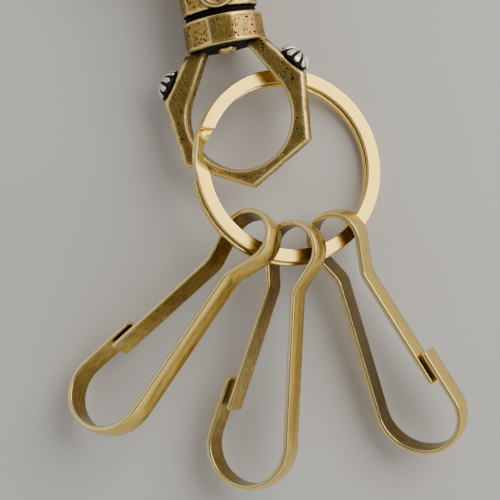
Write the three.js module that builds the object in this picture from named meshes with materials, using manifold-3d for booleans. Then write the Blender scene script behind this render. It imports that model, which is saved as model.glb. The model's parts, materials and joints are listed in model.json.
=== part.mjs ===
// Carabiner keyring: a cast brass carabiner with a sprung gate, a swivelling shackle,
// a split ring and three spring hooks bent from flat strip. It lies on a flat surface.
// Millimetres, +Z up. +Y runs from the hooks towards the carabiner.
import * as THREE from "three";
import { mergeVertices } from "three/addons/utils/BufferGeometryUtils.js";
import Module from "manifold-3d";

const wasm = await Module();
wasm.setup();
const DEG = Math.PI / 180;
const UP = new THREE.Vector3(0, 0, 1);

// ---- driving dimensions ----

// Swivel line: the axis that the carabiner and the shackle share.
const SWIVEL = { x: -3.9, y: 32.7, z: 6.05, lean: 11.2, shackleRoll: 11 };

// Collar and shackle, one casting. y is measured along the swivel line from the collar's middle.
const COLLAR = { radius: 6, length: 4.4, sides: 20, chamfer: 0.35 };
const SHACKLE = {
  depth: 3.6,
  bevel: 0.4,
  apexY: 6.15,
  shoulder: [10.94, -8.5],
  foot: [9.78, -18.45],
  toeY: -23.8,
  holeY: -12.9,
  holeRadius: 7.95,
  flankAngle: 30,
};
const STUD = { y: -6.35, radius: 2.55, height: 2.1, band: 0.35, shankRadius: 0.8, shankLength: 1.7 };

// Swivel joint: peened pin, washer and the clearances round them.
const PIN = { radius: 1.2, headRadius: 1.5, headHeight: 1, length: 11 };
const WASHER = { radius: 5.3, thickness: 0.7 };
const GAP = 0.1;
const SWIVEL_GAP = 0.9;

// Carabiner: barrel stem, loop and gate, in the plane of the swivel line.
const STEM = { radius: 5.8, length: 11.5, waist: 5.1, bossRadius: 2.75, bossHeight: 1, bossY: 5.7 };
const LOOP = { halfWidth: 13.1, wall: 5, depth: 7, bevel: 1.1, lowY: 20.5, highY: 42, baseY: 11.2 };
const GATE = {
  depth: 6.2,
  tongue: 1.6,
  tongueZ: -0.65,
  slot: 3.3,
  endGap: 0.35,
  pinRadius: 0.9,
  headRadius: 1.45,
  headSeat: 2.9,
};
const NOSE = { tongueWidth: 2.4, tongueLength: 2.6, slotWidth: 3.0, wall: 1.3 };
const SPRING = { wire: 0.4, radius: 1.55, turns: 2, pitch: 0.46, z: 0.45, leg: 2.7 };

// Split ring: flat wire wound twice, tilted, with one cranked crossing between its two levels.
// The crossing swells outwards and twists, and the lower turn lies a little to one side.
const RING = {
  outerRadius: 14.81,
  width: 2.06,
  thickness: 0.86,
  slit: 0.12,
  endAngle: 159,
  crossing: 30,
  swell: 0.45,
  twist: 48,
  twistSkew: 1.36,
  lowerShift: [-0.22, -0.36],
  centre: [5.77, 12.68, 5.98],
  normal: [0.349, 0.152, 1],
};

// Spring hooks: one flat strip each. u runs from the eye to the wide end, v towards the long arm.
// The wide ends are bent by hand, so each hook has its own two bends there.
const STRIP = { width: 3.85, thickness: 0.85 };
const HOOK = {
  eyeRadius: 3.95,
  longNeck: [5.7, 2.46],
  gateNeck: [6.57, -1.6],
  neckRadius: 1.6,
  rootGap: 0.3,
};
const HOOKS = [
  {
    name: "left",
    side: 1,
    eye: [0.03, 1.53, 10.1],
    heading: -135,
    roll: 35.2,
    pitch: 9.5,
    noseBend: { centre: [31.98, 1.06], radius: 5.52 },
    longBend: { radius: 6.99, toe: -3.8 },
    noseLength: 9.49,
    gateEnd: [26.5, -2.78],
  },
  {
    name: "middle",
    side: 1,
    eye: [6.76, 0.02, 7.95],
    heading: -107.1,
    roll: 27,
    pitch: 6.4,
    noseBend: { centre: [30.19, 2.55], radius: 6.22 },
    longBend: { radius: 6.77, toe: 20.1 },
    noseLength: 8.46,
    gateEnd: [26.08, -1.92],
  },
  {
    name: "right",
    side: -1,
    eye: [13.2, 1.71, 5.2],
    heading: -61.2,
    roll: 27.4,
    pitch: -1.6,
    noseBend: { centre: [29.67, 0.95], radius: 5.53 },
    longBend: { radius: 6.92, toe: 6.9 },
    noseLength: 8.19,
    gateEnd: [25.76, -2.78],
  },
];

// ---- materials ----

function brass(color, roughness) {
  return new THREE.MeshStandardMaterial({ color, roughness, metalness: 1 });
}
const antiqueBrass = () => brass(0x8a7440, 0.5);
const satinBrass = () => brass(0xc6a35c, 0.32);
const silveredBrass = () => brass(0xb9ae93, 0.3);
const blackened = () => brass(0x17130d, 0.7);
const springSteel = () => brass(0x8c8c8a, 0.35);

// ---- solids ----

function solid(geometry) {
  const bare = geometry.index ? geometry.toNonIndexed() : geometry.clone();
  bare.deleteAttribute("normal");
  bare.deleteAttribute("uv");
  const merged = mergeVertices(bare, 1e-4);
  return new wasm.Manifold(
    new wasm.Mesh({
      numProp: 3,
      vertProperties: merged.attributes.position.array,
      triVerts: new Uint32Array(merged.index.array),
    }),
  );
}

function geometryOf(manifold) {
  const mesh = manifold.getMesh();
  const geometry = new THREE.BufferGeometry();
  geometry.setAttribute("position", new THREE.BufferAttribute(mesh.vertProperties, mesh.numProp));
  geometry.setIndex(new THREE.BufferAttribute(mesh.triVerts, 1));
  return geometry;
}

function named(name, shape, material) {
  const geometry = shape.isBufferGeometry ? shape : geometryOf(shape);
  geometry.computeVertexNormals();
  const mesh = new THREE.Mesh(geometry, material);
  mesh.name = name;
  return mesh;
}

function box(sizeX, sizeY, sizeZ, x, y, z) {
  return new THREE.BoxGeometry(sizeX, sizeY, sizeZ).translate(x, y, z);
}

// A cylinder along Z or Y, centred on the given point.
function rod(radius, length, axis, x, y, z, sides = 32) {
  const geometry = new THREE.CylinderGeometry(radius, radius, length, sides);
  if (axis === "z") geometry.rotateX(Math.PI / 2);
  return geometry.translate(x, y, z);
}

// A closed turned shape about Y from [radius, y] points that start and end on the axis.
function turned(points, sides) {
  const profile = points.map(([radius, y]) => new THREE.Vector2(radius, y));
  return new THREE.LatheGeometry(profile, sides);
}

function plate(shape, depth, bevel, curveSegments) {
  const geometry = new THREE.ExtrudeGeometry(shape, {
    depth: depth - 2 * bevel,
    bevelEnabled: bevel > 0,
    bevelThickness: bevel,
    bevelSize: bevel,
    bevelOffset: -bevel,
    bevelSegments: 1,
    curveSegments,
  });
  return geometry.translate(0, 0, -depth / 2 + bevel);
}

// ---- shackle and collar ----

function shackleOutline() {
  const [shoulderX, shoulderY] = SHACKLE.shoulder;
  const [footX, footY] = SHACKLE.foot;
  const outline = new THREE.Shape();
  outline.moveTo(0, SHACKLE.toeY);
  outline.lineTo(footX, footY);
  outline.lineTo(shoulderX, shoulderY);
  outline.lineTo(0, SHACKLE.apexY);
  outline.lineTo(-shoulderX, shoulderY);
  outline.lineTo(-footX, footY);
  outline.closePath();

  // The hole is a circle whose upper part runs on in two straight flanks up to the collar.
  const angle = SHACKLE.flankAngle * DEG;
  const tangentX = SHACKLE.holeRadius * Math.cos(angle);
  const tangentY = SHACKLE.holeY + SHACKLE.holeRadius * Math.sin(angle);
  const topX = tangentX - (-COLLAR.length / 2 - tangentY) * Math.tan(angle);
  const hole = new THREE.Path();
  hole.moveTo(-topX, -COLLAR.length / 2);
  hole.lineTo(-tangentX, tangentY);
  hole.absarc(0, SHACKLE.holeY, SHACKLE.holeRadius, Math.PI - angle, 2 * Math.PI + angle, false);
  hole.lineTo(topX, -COLLAR.length / 2);
  hole.closePath();
  outline.holes.push(hole);
  return outline;
}

function collarSolid() {
  const half = COLLAR.length / 2;
  const chamfered = COLLAR.radius - COLLAR.chamfer;
  return turned(
    [
      [0, -half],
      [chamfered, -half],
      [COLLAR.radius, -half + COLLAR.chamfer],
      [COLLAR.radius, half - COLLAR.chamfer],
      [chamfered, half],
      [0, half],
    ],
    COLLAR.sides,
  );
}

function shackleMesh() {
  const plateSolid = solid(plate(shackleOutline(), SHACKLE.depth, SHACKLE.bevel, 20));
  const above = box(30, 20, 20, 0, 10, 0);
  let casting = plateSolid.subtract(solid(above)).add(solid(collarSolid()));
  casting = casting.subtract(solid(rod(PIN.radius + GAP, 4 * COLLAR.length, "y", 0, 0, 0)));
  for (const side of [-1, 1]) {
    const bore = solid(studShank(side, STUD.shankRadius + GAP, STUD.shankLength + GAP));
    casting = casting.subtract(bore);
  }
  return named("shackle_collar", casting, antiqueBrass());
}

// Places a turned piece, built along +Y from its base, square on the shackle's outer flank.
function onFlank(geometry, side) {
  const [shoulderX, shoulderY] = SHACKLE.shoulder;
  const rise = SHACKLE.apexY - shoulderY;
  const outward = Math.atan2(shoulderX, rise);
  const x = (shoulderX * (SHACKLE.apexY - STUD.y)) / rise;
  geometry.rotateZ(-side * (Math.PI / 2 - outward));
  return geometry.translate(side * x, STUD.y, 0);
}

function studShank(side, radius, length) {
  return onFlank(rod(radius, length, "y", 0, -length / 2, 0, 20), side);
}

function studMesh(name, side) {
  const dome = [];
  const steps = 8;
  for (let i = 0; i <= steps; i++) {
    const angle = (i / steps) * (Math.PI / 2);
    const y = STUD.band + (STUD.height - STUD.band) * Math.sin(angle);
    dome.push([i === steps ? 0 : STUD.radius * Math.cos(angle), y]);
  }
  const profile = [
    [0, -STUD.shankLength],
    [STUD.shankRadius, -STUD.shankLength],
    [STUD.shankRadius, GAP / 2],
    [STUD.radius, GAP / 2],
    ...dome,
  ];
  return named(name, onFlank(turned(profile, 24), side), silveredBrass());
}

// ---- swivel pin and washer ----

const STEM_BASE = COLLAR.length / 2 + SWIVEL_GAP;

function swivelPinMesh() {
  const seat = -COLLAR.length / 2 - GAP;
  const dome = [];
  const steps = 5;
  for (let i = 0; i <= steps; i++) {
    const angle = (i / steps) * (Math.PI / 2);
    const radius = i === 0 ? 0 : PIN.headRadius * Math.sin(angle);
    dome.push([radius, seat - PIN.headHeight * Math.cos(angle)]);
  }
  const top = seat + PIN.length;
  const profile = [...dome, [PIN.radius, seat], [PIN.radius, top], [0, top]];
  return named("swivel_pin", turned(profile, 24), antiqueBrass());
}

function washerMesh() {
  const centreY = COLLAR.length / 2 + SWIVEL_GAP / 2;
  const disc = solid(rod(WASHER.radius, WASHER.thickness, "y", 0, centreY, 0));
  const bore = solid(rod(PIN.radius + GAP, 4, "y", 0, centreY, 0));
  return named("swivel_washer", disc.subtract(bore), blackened());
}

// ---- carabiner ----

const PIVOT_X = -LOOP.halfWidth + LOOP.wall / 2;

function loopOutline() {
  const outer = LOOP.halfWidth;
  const inner = outer - LOOP.wall;
  const foot = STEM.radius - 0.6;
  const shape = new THREE.Shape();
  shape.moveTo(-foot, LOOP.baseY);
  shape.lineTo(foot, LOOP.baseY);
  shape.bezierCurveTo(foot + 1, LOOP.baseY + 4, outer, LOOP.baseY + 3, outer, LOOP.lowY);
  shape.lineTo(outer, LOOP.highY);
  shape.absarc(0, LOOP.highY, outer, 0, Math.PI, false);
  shape.lineTo(-outer, LOOP.lowY);
  shape.bezierCurveTo(-outer, LOOP.baseY + 3, -foot - 1, LOOP.baseY + 4, -foot, LOOP.baseY);
  const hole = new THREE.Path();
  const floorY = LOOP.baseY + LOOP.wall + 1.5;
  hole.moveTo(-inner, LOOP.highY);
  hole.lineTo(-inner, LOOP.lowY);
  hole.bezierCurveTo(-inner, floorY + 0.6, -inner / 2, floorY, 0, floorY);
  hole.bezierCurveTo(inner / 2, floorY, inner, floorY + 0.6, inner, LOOP.lowY);
  hole.lineTo(inner, LOOP.highY);
  hole.absarc(0, LOOP.highY, inner, 0, Math.PI, false);
  shape.holes.push(hole);
  return shape;
}

function stemSolid() {
  const top = STEM_BASE + STEM.length;
  const profile = [
    [0, STEM_BASE],
    [STEM.radius - 0.4, STEM_BASE],
    [STEM.radius, STEM_BASE + 0.4],
    [STEM.radius, STEM_BASE + STEM.length * 0.45],
    [STEM.waist, STEM_BASE + STEM.length * 0.72],
    [STEM.waist - 1, top],
    [0, top],
  ];
  return turned(profile, 28);
}

function frameMesh() {
  const { depth, wall, lowY, highY } = LOOP;
  const lugRadius = wall / 2;
  let frame = solid(plate(loopOutline(), depth, LOOP.bevel, 14));
  frame = frame.add(solid(stemSolid()));
  frame = frame.add(solid(rod(STEM.bossRadius, STEM.bossHeight, "z", 0, STEM.bossY, STEM.radius)));
  // Gateway in the left wall, with a round lug round the pivot left at its foot.
  const opening = box(wall + 2, highY - lowY, depth + 2, PIVOT_X - 0.6, (lowY + highY) / 2, 0);
  frame = frame.subtract(solid(opening));
  frame = frame.add(solid(rod(lugRadius, depth - 0.6, "z", PIVOT_X, lowY, 0)));
  const slotHeight = 2 * lugRadius + 2;
  frame = frame.subtract(solid(box(wall + 2, slotHeight, GATE.slot, PIVOT_X, lowY, 0)));
  frame = frame.subtract(solid(rod(GATE.pinRadius + GAP, depth + 2, "z", PIVOT_X, lowY, 0, 24)));
  for (const face of [-1, 1]) {
    const seatZ = face * (GATE.headSeat + 1);
    frame = frame.subtract(solid(rod(GATE.headRadius + GAP, 2, "z", PIVOT_X, lowY, seatZ, 24)));
  }
  // Tongue on the nose that the gate closes over.
  const tongueX = PIVOT_X - NOSE.wall / 2;
  const tongue = box(wall - NOSE.wall - 1, NOSE.tongueLength + 1, NOSE.tongueWidth, tongueX, highY, 0);
  frame = frame.add(solid(tongue.translate(0, -NOSE.tongueLength / 2 + 0.5, 0)));
  // Socket for the swivel pin.
  frame = frame.subtract(solid(rod(PIN.radius + GAP, PIN.length * 2, "y", 0, -COLLAR.length / 2, 0)));
  return named("carabiner_frame", frame, antiqueBrass());
}

function gateMesh() {
  const { wall, lowY, highY } = LOOP;
  const x = PIVOT_X;
  const lugRadius = wall / 2;
  const low = lowY + lugRadius + GATE.endGap;
  const high = highY - GATE.endGap;
  const width = wall - 0.5;
  const bar = new THREE.Shape();
  bar.moveTo(x - width / 2, low);
  bar.lineTo(x + width / 2, low);
  bar.lineTo(x + width / 2, high);
  bar.lineTo(x - width / 2, high);
  bar.closePath();
  let gate = solid(plate(bar, GATE.depth, 0.7, 4));
  const tongueTop = low + 1;
  const tongue = box(2 * lugRadius - 0.6, tongueTop - lowY, GATE.tongue, x, 0, GATE.tongueZ);
  gate = gate.add(solid(tongue.translate(0, (tongueTop + lowY) / 2, 0)));
  gate = gate.add(solid(rod(lugRadius - 0.3, GATE.tongue, "z", x, lowY, GATE.tongueZ)));
  gate = gate.subtract(solid(rod(GATE.pinRadius + GAP, 8, "z", x, lowY, 0, 24)));
  // Slot that closes over the nose's tongue, open to the outside and to the top.
  const slotDepth = NOSE.tongueLength + 0.4;
  const slot = box(width, slotDepth + 2, NOSE.slotWidth, x - NOSE.wall, high - slotDepth / 2 + 1, 0);
  gate = gate.subtract(solid(slot));
  // Thumb grooves across the gate's outer side.
  for (let i = -1; i <= 1; i++) {
    const y = (low + high) / 2 + i * 2.4;
    gate = gate.subtract(solid(rod(0.6, GATE.depth + 2, "z", x - width / 2 - 0.2, y, 0, 12)));
  }
  return named("carabiner_gate", gate, antiqueBrass());
}

function gatePinMesh() {
  const { pinRadius, headRadius } = GATE;
  const seat = GATE.headSeat + GAP / 2;
  const crown = LOOP.depth / 2 + 0.15;
  const profile = [
    [0, -crown],
    [headRadius * 0.6, -crown + 0.06],
    [headRadius * 0.9, -crown + 0.25],
    [headRadius, -crown + 0.5],
    [headRadius, -seat],
    [pinRadius, -seat],
    [pinRadius, seat],
    [headRadius, seat],
    [headRadius, crown - 0.5],
    [headRadius * 0.9, crown - 0.25],
    [headRadius * 0.6, crown - 0.06],
    [0, crown],
  ];
  const pin = turned(profile, 24).rotateX(Math.PI / 2).translate(PIVOT_X, LOOP.lowY, 0);
  return named("gate_pin", pin, antiqueBrass());
}

// A torsion spring: two whole turns round the gate pin, one leg down the slot and one up to the gate.
class TorsionPath extends THREE.Curve {
  getPoint(t, target = new THREE.Vector3()) {
    const sweep = SPRING.turns * 2 * Math.PI;
    const arc = sweep * SPRING.radius;
    const total = arc + 2 * SPRING.leg;
    const along = t * total;
    const rise = SPRING.turns * SPRING.pitch;
    if (along < SPRING.leg) {
      return target.set(SPRING.radius, along - SPRING.leg, 0);
    }
    if (along > SPRING.leg + arc) {
      return target.set(SPRING.radius, along - SPRING.leg - arc, rise);
    }
    const angle = (along - SPRING.leg) / SPRING.radius;
    const z = (rise * angle) / sweep;
    return target.set(SPRING.radius * Math.cos(angle), SPRING.radius * Math.sin(angle), z);
  }
}

function springMesh() {
  const section = new THREE.Shape();
  section.absarc(0, 0, SPRING.wire / 2, 0, 2 * Math.PI, false);
  const wire = new THREE.ExtrudeGeometry(section, {
    steps: 44,
    curveSegments: 6,
    extrudePath: new TorsionPath(),
  });
  wire.translate(PIVOT_X, LOOP.lowY, SPRING.z);
  return named("gate_spring", wire, springSteel());
}

// ---- split ring ----

// The wire's centre line, clockwise from the top level's end, with square-on section frames.
class RingPath extends THREE.Curve {
  constructor() {
    super();
    this.radius = RING.outerRadius - RING.width / 2;
    this.sweep = 720 - RING.crossing;
    this.level = (RING.thickness + RING.slit) / 2;
  }
  angleAt(t) {
    return (RING.endAngle - t * this.sweep) * DEG;
  }
  // How much of the crossing lies behind, from 0 to 1.
  crossedAt(t) {
    const passed = t * this.sweep - (360 - RING.crossing);
    return THREE.MathUtils.clamp(passed / RING.crossing, 0, 1);
  }
  getPoint(t, target = new THREE.Vector3()) {
    const crossed = this.crossedAt(t);
    const lowered = THREE.MathUtils.smoothstep(crossed, 0, 1);
    const angle = this.angleAt(t);
    const radius = this.radius + RING.swell * Math.sin(Math.PI * crossed);
    const x = radius * Math.cos(angle) + RING.lowerShift[0] * lowered;
    const y = radius * Math.sin(angle) + RING.lowerShift[1] * lowered;
    return target.set(x, y, this.level * (1 - 2 * lowered));
  }
  computeFrenetFrames(segments) {
    const tangents = [];
    const normals = [];
    const binormals = [];
    for (let i = 0; i <= segments; i++) {
      const t = this.getUtoTmapping(i / segments);
      const angle = this.angleAt(t);
      const twist = RING.twist * DEG * Math.sin(Math.PI * this.crossedAt(t) ** RING.twistSkew);
      const out = new THREE.Vector3(Math.cos(angle), Math.sin(angle), 0);
      tangents.push(new THREE.Vector3(Math.sin(angle), -Math.cos(angle), 0));
      normals.push(out.clone().multiplyScalar(Math.cos(twist)).addScaledVector(UP, Math.sin(twist)));
      binormals.push(UP.clone().multiplyScalar(Math.cos(twist)).addScaledVector(out, -Math.sin(twist)));
    }
    return { tangents, normals, binormals };
  }
}

function ringMesh() {
  const halfWidth = RING.width / 2;
  const halfThickness = RING.thickness / 2;
  const section = new THREE.Shape();
  section.moveTo(-halfWidth, -halfThickness);
  section.lineTo(halfWidth, -halfThickness);
  section.lineTo(halfWidth, halfThickness);
  section.lineTo(-halfWidth, halfThickness);
  section.closePath();
  const wire = new THREE.ExtrudeGeometry(section, { steps: 132, extrudePath: new RingPath() });
  const mesh = named("split_ring", wire, satinBrass());
  mesh.position.set(...RING.centre);
  const normal = new THREE.Vector3(...RING.normal).normalize();
  mesh.quaternion.setFromUnitVectors(UP, normal);
  return mesh;
}

// ---- spring hooks ----

const vec = ([u, v]) => new THREE.Vector2(u, v);

function polar(centre, radius, angle) {
  return new THREE.Vector2(
    centre.x + radius * Math.cos(angle),
    centre.y + radius * Math.sin(angle),
  );
}

// Angle on a circle, from 0 to a full turn, at which a line from an outside point touches it.
function touchAngle(centre, radius, point, side) {
  const reach = point.clone().sub(centre);
  const angle = reach.angle() + side * Math.acos(radius / reach.length());
  return THREE.MathUtils.euclideanModulo(angle, 2 * Math.PI);
}

function arcPoints(centre, radius, from, to, count) {
  const points = [];
  for (let i = 0; i <= count; i++) {
    points.push(polar(centre, radius, from + ((to - from) * i) / count));
  }
  return points;
}

// Rounds the corner at b between the lines a-b and b-c.
function fillet(a, b, c, radius, count) {
  const toA = a.clone().sub(b).normalize();
  const toC = c.clone().sub(b).normalize();
  const half = Math.acos(toA.dot(toC)) / 2;
  const middle = toA.clone().add(toC).normalize();
  const centre = b.clone().addScaledVector(middle, radius / Math.sin(half));
  const start = b.clone().addScaledVector(toA, radius / Math.tan(half)).sub(centre);
  const end = b.clone().addScaledVector(toC, radius / Math.tan(half)).sub(centre);
  let sweep = end.angle() - start.angle();
  if (sweep > Math.PI) sweep -= 2 * Math.PI;
  if (sweep < -Math.PI) sweep += 2 * Math.PI;
  return arcPoints(centre, radius, start.angle(), start.angle() + sweep, count);
}

// Centre lines of the hook's rigid part, nose to eye, and of its springy gate arm.
function hookLines(hook) {
  const eye = new THREE.Vector2(0, 0);
  const longNeck = vec(HOOK.longNeck);
  const gateNeck = vec(HOOK.gateNeck);
  const gateEnd = vec(hook.gateEnd);
  const noseCentre = vec(hook.noseBend.centre);
  const noseRadius = hook.noseBend.radius;
  const longRadius = hook.longBend.radius;
  // The two bends meet smoothly at the toe, where their circles touch.
  const toe = hook.longBend.toe * DEG;
  const longCentre = polar(noseCentre, noseRadius - longRadius, toe);

  const gateWay = gateEnd.clone().sub(gateNeck).normalize();
  const noseNormal = Math.atan2(-gateWay.x, gateWay.y);
  const noseFoot = polar(noseCentre, noseRadius, noseNormal);
  const noseTip = noseFoot.clone().addScaledVector(gateWay, -hook.noseLength);
  const longAngle = touchAngle(longCentre, longRadius, longNeck, -1);
  const longFoot = polar(longCentre, longRadius, longAngle);
  const eyeLong = touchAngle(eye, HOOK.eyeRadius, longNeck, 1);
  const eyeGate = touchAngle(eye, HOOK.eyeRadius, gateNeck, -1);

  const gateFillet = fillet(
    polar(eye, HOOK.eyeRadius, eyeGate),
    gateNeck,
    gateEnd,
    HOOK.neckRadius,
    5,
  );
  const body = [
    noseTip,
    ...arcPoints(noseCentre, noseRadius, noseNormal, toe, 14),
    ...arcPoints(longCentre, longRadius, toe, longAngle, 12),
    ...fillet(longFoot, longNeck, polar(eye, HOOK.eyeRadius, eyeLong), HOOK.neckRadius, 5),
    ...arcPoints(eye, HOOK.eyeRadius, eyeLong, eyeGate, 28),
    ...gateFillet,
  ];
  const gateStart = gateFillet.at(-1).clone().addScaledVector(gateWay, HOOK.rootGap);
  return { body, gate: [gateStart, gateEnd] };
}

// Flat strip bent along a centre line: the line offset to both sides, pulled out to the strip's width.
function stripGeometry(line, side) {
  const left = [];
  const right = [];
  line.forEach((point, i) => {
    const ahead = line[Math.min(i + 1, line.length - 1)];
    const behind = line[Math.max(i - 1, 0)];
    const way = ahead.clone().sub(behind).normalize();
    const normal = new THREE.Vector2(-way.y, way.x).multiplyScalar(STRIP.thickness / 2);
    left.push(point.clone().add(normal));
    right.unshift(point.clone().sub(normal));
  });
  const outline = [...left, ...right].map((p) => new THREE.Vector2(p.x, p.y * side));
  if (THREE.ShapeUtils.isClockWise(outline)) outline.reverse();
  const geometry = new THREE.ExtrudeGeometry(new THREE.Shape(outline), {
    depth: STRIP.width,
    bevelEnabled: false,
  });
  return geometry.translate(0, 0, -STRIP.width / 2);
}

function hookGroup(hook) {
  const heading = hook.heading * DEG;
  const roll = hook.roll * DEG;
  const pitch = hook.pitch * DEG;
  const along = new THREE.Vector3(
    Math.cos(heading) * Math.cos(pitch),
    Math.sin(heading) * Math.cos(pitch),
    -Math.sin(pitch),
  );
  const level = new THREE.Vector3(-Math.sin(heading), Math.cos(heading), 0);
  const above = along.clone().cross(level);
  const across = level.multiplyScalar(Math.cos(roll)).addScaledVector(above, Math.sin(roll));
  const group = new THREE.Group();
  const basis = new THREE.Matrix4().makeBasis(along, across, along.clone().cross(across));
  group.quaternion.setFromRotationMatrix(basis);
  group.position.set(...hook.eye);
  const lines = hookLines(hook);
  group.add(named(`hook_${hook.name}_body`, stripGeometry(lines.body, hook.side), satinBrass()));
  group.add(named(`hook_${hook.name}_gate`, stripGeometry(lines.gate, hook.side), satinBrass()));
  return group;
}

// ---- assembly ----

const keyring = new THREE.Group();

const swivelLine = new THREE.Group();
swivelLine.position.set(SWIVEL.x, SWIVEL.y, SWIVEL.z);
swivelLine.rotation.z = SWIVEL.lean * DEG;
swivelLine.add(frameMesh(), gateMesh(), gatePinMesh(), springMesh());
swivelLine.add(swivelPinMesh(), washerMesh());

const shackleGroup = new THREE.Group();
shackleGroup.rotation.y = -SWIVEL.shackleRoll * DEG;
shackleGroup.add(shackleMesh(), studMesh("stud_left", -1), studMesh("stud_right", 1));
swivelLine.add(shackleGroup);

keyring.add(swivelLine, ringMesh(), ...HOOKS.map(hookGroup));

// The origin is under the middle of the object, on the surface that it lies on.
keyring.updateMatrixWorld(true);
const extent = new THREE.Box3().setFromObject(keyring, true);
const middle = extent.getCenter(new THREE.Vector3());
keyring.position.set(-middle.x, -middle.y, -extent.min.z);

export default keyring;
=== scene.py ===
"""Looks for the carabiner keyring: every CAD piece is replaced by a finer mesh with its own finish.

Lengths in this script are in millimetres, in the CAD design's own coordinates, and are turned
into metres in the part's frame when a mesh is made.
"""
import json
import math

import bmesh
import bpy
import numpy as np
from mathutils import Matrix, Vector, noise
from mathutils.bvhtree import BVHTree


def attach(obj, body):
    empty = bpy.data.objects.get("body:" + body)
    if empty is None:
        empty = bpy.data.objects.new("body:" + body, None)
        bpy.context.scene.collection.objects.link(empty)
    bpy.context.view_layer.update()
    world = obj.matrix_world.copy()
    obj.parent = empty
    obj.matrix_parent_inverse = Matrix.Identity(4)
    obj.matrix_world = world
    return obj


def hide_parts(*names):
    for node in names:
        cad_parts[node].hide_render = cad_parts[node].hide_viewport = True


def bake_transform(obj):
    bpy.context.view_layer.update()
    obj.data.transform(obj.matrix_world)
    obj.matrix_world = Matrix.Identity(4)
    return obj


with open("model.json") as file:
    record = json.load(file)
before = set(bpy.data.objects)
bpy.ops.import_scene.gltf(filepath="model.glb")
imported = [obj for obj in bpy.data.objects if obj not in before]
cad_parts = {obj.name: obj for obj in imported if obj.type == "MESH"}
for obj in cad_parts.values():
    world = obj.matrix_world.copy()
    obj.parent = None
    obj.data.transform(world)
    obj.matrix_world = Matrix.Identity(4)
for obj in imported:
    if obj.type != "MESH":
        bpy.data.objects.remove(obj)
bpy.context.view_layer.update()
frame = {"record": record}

MM = 0.001
DEG = math.pi / 180
JOINTS = {joint["name"]: joint for joint in frame["record"]["behaviour"]["joints"]}

# ---- design dimensions, as in the CAD ----

SWIVEL = Vector((-3.9, 32.7, 6.05))
SWIVEL_LEAN = 11.2
SHACKLE_ROLL = 11
COLLAR_RADIUS = 6.0
COLLAR_LENGTH = 4.4
SHACKLE_DEPTH = 3.6
SHACKLE_APEX = 6.15
SHACKLE_SHOULDER = (10.94, -8.5)
SHACKLE_FOOT = (9.78, -18.45)
SHACKLE_TOE = -23.8
HOLE_Y = -12.9
HOLE_RADIUS = 7.95
FLANK_ANGLE = 30
STUD_Y = -6.35
STUD_RADIUS = 2.55
STUD_HEIGHT = 2.1
STUD_RIBS = 10
PIN_RADIUS = 1.2
PIN_HEAD_RADIUS = 1.5
PIN_HEAD_HEIGHT = 1.0
SWIVEL_GAP = 0.9
# The washer reaches nearly to the stem's rim: a real blackened washer, enlarged so its black fills the
# swivel gap as painted shade.
WASHER_RADIUS = 5.3
WASHER_THICKNESS = 0.7
STEM_RADIUS = 5.8
STEM_WAIST = 5.1
STEM_LENGTH = 11.5
BOSS_RADIUS = 2.75
BOSS_HEIGHT = 1.0
BOSS_Y = 5.7
LOOP_HALF_WIDTH = 13.1
LOOP_WALL = 5.0
LOOP_DEPTH = 7.0
LOOP_LOW = 20.5
LOOP_HIGH = 42.0
LOOP_BASE = 11.2
GATE_DEPTH = 6.2
GATE_PIN_RADIUS = 0.9
GATE_HEAD_RADIUS = 1.45

RING_CENTRE = Vector((5.77, 12.68, 5.98))
RING_NORMAL = Vector((0.349, 0.152, 1)).normalized()
RING_RADIUS = 14.81
RING_WIDTH = 2.06
RING_THICKNESS = 0.86
RING_SLIT = 0.12
RING_END = 159
RING_CROSSING = 30
RING_SWELL = 0.45
RING_TWIST = 48
RING_TWIST_SKEW = 1.36
RING_LOWER_SHIFT = (-0.22, -0.36)
RING_CUT = 20

STRIP_WIDTH = 3.85
STRIP_THICKNESS = 0.85
EYE_RADIUS = 3.95
LONG_NECK = (5.7, 2.46)
GATE_NECK = (6.57, -1.6)
NECK_RADIUS = 3.2
HOOKS = {
    "left": dict(
        eye=(0.03, 1.53, 10.1), heading=-135, roll=35.2, pitch=9.5, side=1,
        nose_bend=((31.98, 1.06), 5.52), long_radius=6.99, toe=-3.8,
        nose_length=9.49, gate_end=(26.5, -2.78),
    ),
    "middle": dict(
        eye=(6.76, 0.02, 7.95), heading=-107.1, roll=27, pitch=6.4, side=1,
        nose_bend=((30.19, 2.55), 6.22), long_radius=6.77, toe=20.1,
        nose_length=8.46, gate_end=(26.08, -1.92),
    ),
    "right": dict(
        eye=(13.2, 1.71, 5.2), heading=-61.2, roll=27.4, pitch=-1.6, side=-1,
        nose_bend=((29.67, 0.95), 5.53), long_radius=6.92, toe=6.9,
        nose_length=8.19, gate_end=(25.76, -2.78),
    ),
}

# The straight wall that holds the gate, by its middle.
WALL_X = -LOOP_HALF_WIDTH + LOOP_WALL / 2

# A turned profile starts and ends this far from its axis.
NEAR_AXIS = 0.05

# The camera's height above the design's origin, the width it sees there, and its sensor's width.
CAMERA_HEIGHT = 235
VIEW_WIDTH = 77.4
SENSOR_WIDTH = 36

# The floor's half width, and how far it lies below the object, in metres.
FLOOR_SPAN = 1.6
FLOOR_GAP = 0.00002

# Where the design's coordinates lie in the part's frame, from the swivel's place in both.
OFFSET = Vector(JOINTS["swivel"]["pos_m"]) / MM - SWIVEL

# Axes of the swivel line's group, and of the rolled shackle in it.
SWIVEL_FRAME = Matrix.Translation(SWIVEL) @ Matrix.Rotation(SWIVEL_LEAN * DEG, 4, "Z")
SHACKLE_FRAME = SWIVEL_FRAME @ Matrix.Rotation(-SHACKLE_ROLL * DEG, 4, "Y")


# ---- mesh helpers ----

# Swept meshes with ends that sit flush against another piece: section size, first end, last end.
FLUSH_ENDS = {}


def to_part(matrix=None):
    """Matrix from a local frame in design millimetres to the part's frame in metres."""
    local = matrix if matrix is not None else Matrix.Identity(4)
    return Matrix.Scale(MM, 4) @ Matrix.Translation(OFFSET) @ local


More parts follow.
